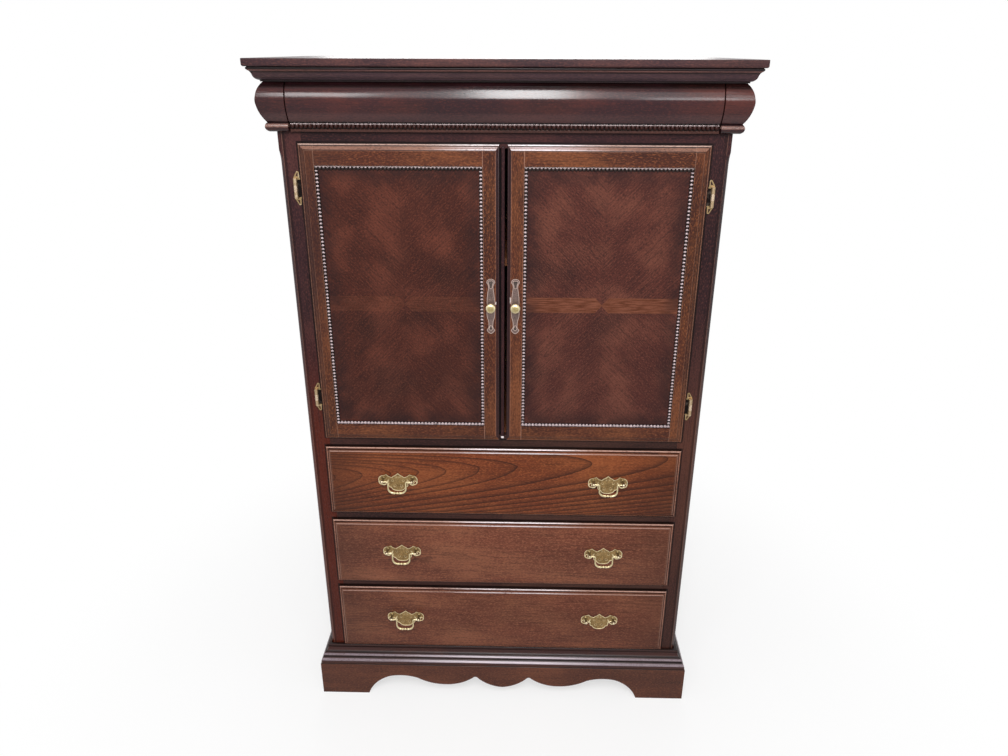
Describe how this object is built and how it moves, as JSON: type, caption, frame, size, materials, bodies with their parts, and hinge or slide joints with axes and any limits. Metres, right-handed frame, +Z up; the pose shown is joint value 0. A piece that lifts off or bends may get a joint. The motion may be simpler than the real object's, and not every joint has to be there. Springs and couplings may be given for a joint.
{
  "type": "tall two-door cabinet",
  "caption": "Tall cabinet with panelled doors, wide drawers with bail pulls, and a hidden drawer in a cushion frieze.",
  "frame": {"origin": "on the floor, at the middle of the overall width and depth", "axes": "+X to the right as one faces the doors, +Y to the back, +Z up"},
  "size_m": [1.084, 0.5588, 1.727],
  "materials": {
    "case": "dark cherry stain under satin lacquer",
    "doors": "dark cherry stain under satin lacquer",
    "door_panels": "book-matched veneer under satin lacquer",
    "drawer_fronts": "reddish cherry stain under satin lacquer",
    "beads": "dark stain with rubbed tops",
    "inner_wood": "clear lacquer on pale secondary wood",
    "back": "bare hardboard",
    "pulls": "antique brass with rubbed edges",
    "knobs": "satin brass",
    "door_plates": "dark antiqued casting with rubbed edges",
    "hinges": "antique brass, dark in the recesses",
    "pins": "nickel plated steel"
  },
  "bodies": {
    "root": {"side_panel_left": "case", "side_panel_right": "case", "face_stile_left": "case", "face_stile_right": "case", "frieze_rails": "case", "middle_rail": "case", "drawer_rails": "case", "top_board": "case", "crown_moulding": "case", "frieze_ends": "case", "plinth_front": "case", "plinth_sides": "case", "base_moulding": "case", "back_panel": "back", "case_bottom": "inner_wood", "compartment_floor": "inner_wood", "frieze_deck": "inner_wood", "case_top": "inner_wood", "drawer_runners": "inner_wood", "adjustable_shelf": "inner_wood", "foot_blocks": "inner_wood", "shelf_pins": "pins", "hinge_frame_leaves": "hinges"},
    "left_door": {"left_door_stiles": "doors", "left_door_rails": "doors", "left_door_panel": "door_panels", "left_door_bead": "beads", "left_door_pull_plate": "door_plates", "left_door_knob": "knobs", "left_door_hinge_leaves": "hinges", "left_door_astragal": "doors"},
    "right_door": {"right_door_stiles": "doors", "right_door_rails": "doors", "right_door_panel": "door_panels", "right_door_bead": "beads", "right_door_pull_plate": "door_plates", "right_door_knob": "knobs", "right_door_hinge_leaves": "hinges"},
    "lower_drawer": {"lower_drawer_front": "drawer_fronts", "lower_drawer_box": "inner_wood", "lower_drawer_bottom": "back", "lower_drawer_pull_plates": "pulls"},
    "middle_drawer": {"middle_drawer_front": "drawer_fronts", "middle_drawer_box": "inner_wood", "middle_drawer_bottom": "back", "middle_drawer_pull_plates": "pulls"},
    "upper_drawer": {"upper_drawer_front": "drawer_fronts", "upper_drawer_box": "inner_wood", "upper_drawer_bottom": "back", "upper_drawer_pull_plates": "pulls"},
    "frieze_drawer": {"frieze_drawer_front": "case", "frieze_drawer_bead": "beads", "frieze_drawer_box": "inner_wood", "frieze_drawer_bottom": "back"},
    "lower_left_bail": {"lower_left_bail": "pulls"},
    "middle_left_bail": {"middle_left_bail": "pulls"},
    "middle_right_bail": {"middle_right_bail": "pulls"},
    "upper_left_bail": {"upper_left_bail": "pulls"},
    "upper_right_bail": {"upper_right_bail": "pulls"}
  },
  "joints": [
    {"name": "left_door_hinge", "type": "hinge", "parent": "root", "child": "left_door", "pos_m": [-0.465, -0.2389, 1.1927], "axis": [0, 0, -1], "range_deg": [0, 110]},
    {"name": "right_door_hinge", "type": "hinge", "parent": "root", "child": "right_door", "pos_m": [0.465, -0.2389, 1.1927], "axis": [0, 0, 1], "range_deg": [0, 110]},
    {"name": "lower_drawer_slide", "type": "slide", "parent": "root", "child": "lower_drawer", "axis": [0, -1, 0], "range_m": [0, 0.36]},
    {"name": "middle_drawer_slide", "type": "slide", "parent": "root", "child": "middle_drawer", "axis": [0, -1, 0], "range_m": [0, 0.36]},
    {"name": "upper_drawer_slide", "type": "slide", "parent": "root", "child": "upper_drawer", "axis": [0, -1, 0], "range_m": [0, 0.36]},
    {"name": "frieze_drawer_slide", "type": "slide", "parent": "root", "child": "frieze_drawer", "axis": [0, -1, 0], "range_m": [0, 0.29]},
    {"name": "lower_left_bail_swing", "type": "hinge", "parent": "lower_drawer", "child": "lower_left_bail", "pos_m": [-0.2723, -0.2669, 0.27585], "axis": [-1, 0, 0], "range_deg": [-18, 95]},
    {"name": "middle_left_bail_swing", "type": "hinge", "parent": "middle_drawer", "child": "middle_left_bail", "pos_m": [-0.2723, -0.2669, 0.49775], "axis": [-1, 0, 0], "range_deg": [-18, 95]},
    {"name": "middle_right_bail_swing", "type": "hinge", "parent": "middle_drawer", "child": "middle_right_bail", "pos_m": [0.2723, -0.2669, 0.49775], "axis": [-1, 0, 0], "range_deg": [-18, 95]},
    {"name": "upper_left_bail_swing", "type": "hinge", "parent": "upper_drawer", "child": "upper_left_bail", "pos_m": [-0.2723, -0.2669, 0.71925], "axis": [-1, 0, 0], "range_deg": [-18, 95]},
    {"name": "upper_right_bail_swing", "type": "hinge", "parent": "upper_drawer", "child": "upper_right_bail", "pos_m": [0.2723, -0.2669, 0.71925], "axis": [-1, 0, 0], "range_deg": [-18, 95]}
  ]
}
